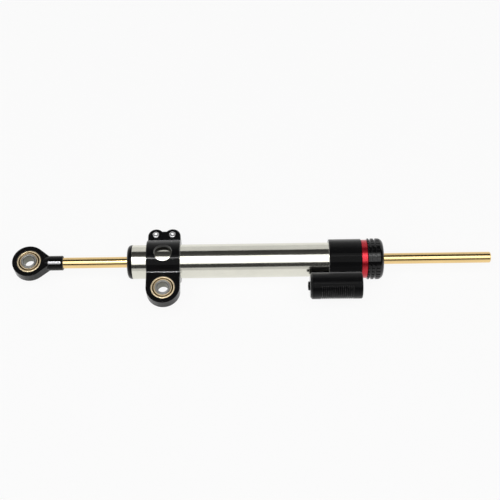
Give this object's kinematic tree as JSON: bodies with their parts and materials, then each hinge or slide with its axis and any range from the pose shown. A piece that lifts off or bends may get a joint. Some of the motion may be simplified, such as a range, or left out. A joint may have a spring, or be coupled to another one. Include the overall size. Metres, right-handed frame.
{
  "type": "steering damper",
  "caption": "Through-rod hydraulic steering damper with a split tube clamp, ball bearing eyes, side reservoir and a turning click adjuster.",
  "frame": {"origin": "centre of the bolt bore in the clamp's ball", "axes": "+X along the damper from the rod eye towards the adjuster knob, +Z along both bolt bores, +Y from the clamp's lug towards its screw ears"},
  "size_m": [0.3501, 0.0611, 0.0316],
  "materials": {
    "brushed_tube": "polished along its length",
    "machined_aluminium": "turned",
    "black_anodised": "black anodised, satin",
    "red_anodised": "red anodised, gloss",
    "gold_rod": "hard gold coating, polished",
    "race_gold": "turned brass",
    "ball_steel": "ground steel",
    "screw_steel": "zinc plated",
    "spring_steel": "oiled",
    "bronze_bush": "turned bronze",
    "seal_rubber": "moulded",
    "slide_band": "bronze-filled plastic"
  },
  "bodies": {
    "barrel": {"outer_tube": "brushed_tube", "inner_liner": "machined_aluminium", "front_cap": "black_anodised", "front_cap_o_ring": "seal_rubber", "front_wiper": "seal_rubber", "front_rod_seal": "seal_rubber", "front_bush": "bronze_bush", "valve_block": "black_anodised", "block_o_ring": "seal_rubber", "rear_guide": "machined_aluminium", "rear_bush": "bronze_bush", "rear_rod_seal": "seal_rubber", "rear_wiper": "seal_rubber", "reservoir_cap": "black_anodised", "reservoir_cap_o_ring": "seal_rubber", "fill_screw": "black_anodised", "fill_screw_washer": "seal_rubber", "reservoir_spring": "spring_steel", "click_ring": "red_anodised", "click_ball": "screw_steel", "click_spring": "spring_steel", "knob_clip": "screw_steel"},
    "piston": {"piston": "machined_aluminium", "piston_band": "slide_band"},
    "rod": {"rod": "gold_rod", "piston_clips": "screw_steel", "rod_eye": "black_anodised", "rod_eye_race": "race_gold"},
    "rod_eye_ball": {"rod_eye_ball": "ball_steel"},
    "clamp": {"clamp_body": "black_anodised", "clamp_screws": "screw_steel", "clamp_race": "race_gold"},
    "clamp_ball": {"clamp_ball": "ball_steel"},
    "knob": {"adjuster_knob": "black_anodised"},
    "metering": {"adjuster_ring": "bronze_bush", "metering_needle": "bronze_bush"},
    "compensator": {"floating_piston": "machined_aluminium", "floating_piston_o_ring": "seal_rubber"}
  },
  "joints": [
    {"name": "rod_stroke", "type": "slide", "parent": "barrel", "child": "piston", "axis": [1, 0, 0], "range_m": [-0.076, 0.044]},
    {"name": "rod_turn", "type": "hinge", "parent": "piston", "child": "rod", "pos_m": [0, 0.0248, -0.00445], "axis": [1, 0, 0], "continuous": true},
    {"name": "rod_eye_swivel", "type": "hinge", "parent": "rod", "child": "rod_eye_ball", "pos_m": [-0.0988, 0.0248, -0.00445], "axis": [0, 0, 1], "continuous": true},
    {"name": "clamp_position", "type": "slide", "parent": "barrel", "child": "clamp", "axis": [1, 0, 0], "range_m": [-0.01, 0.09]},
    {"name": "clamp_swivel", "type": "hinge", "parent": "clamp", "child": "clamp_ball", "pos_m": [0, 0, 0], "axis": [0, 0, 1], "continuous": true},
    {"name": "knob_turn", "type": "hinge", "parent": "barrel", "child": "knob", "pos_m": [0, 0.0248, -0.00445], "axis": [1, 0, 0], "range_deg": [-150, 150]},
    {"name": "needle_feed", "type": "slide", "parent": "barrel", "child": "metering", "axis": [1, 0, 0], "range_m": [-0.00042, 0.00042]},
    {"name": "compensator_float", "type": "slide", "parent": "barrel", "child": "compensator", "axis": [1, 0, 0], "range_m": [-0.0035, 0.0035], "stiffness_N_per_m": 400, "deforming": ["reservoir_spring"]}
  ],
  "couplings": [
    {"joint": "needle_feed", "follows": "knob_turn", "m_per_rad": 0.00015915}
  ]
}
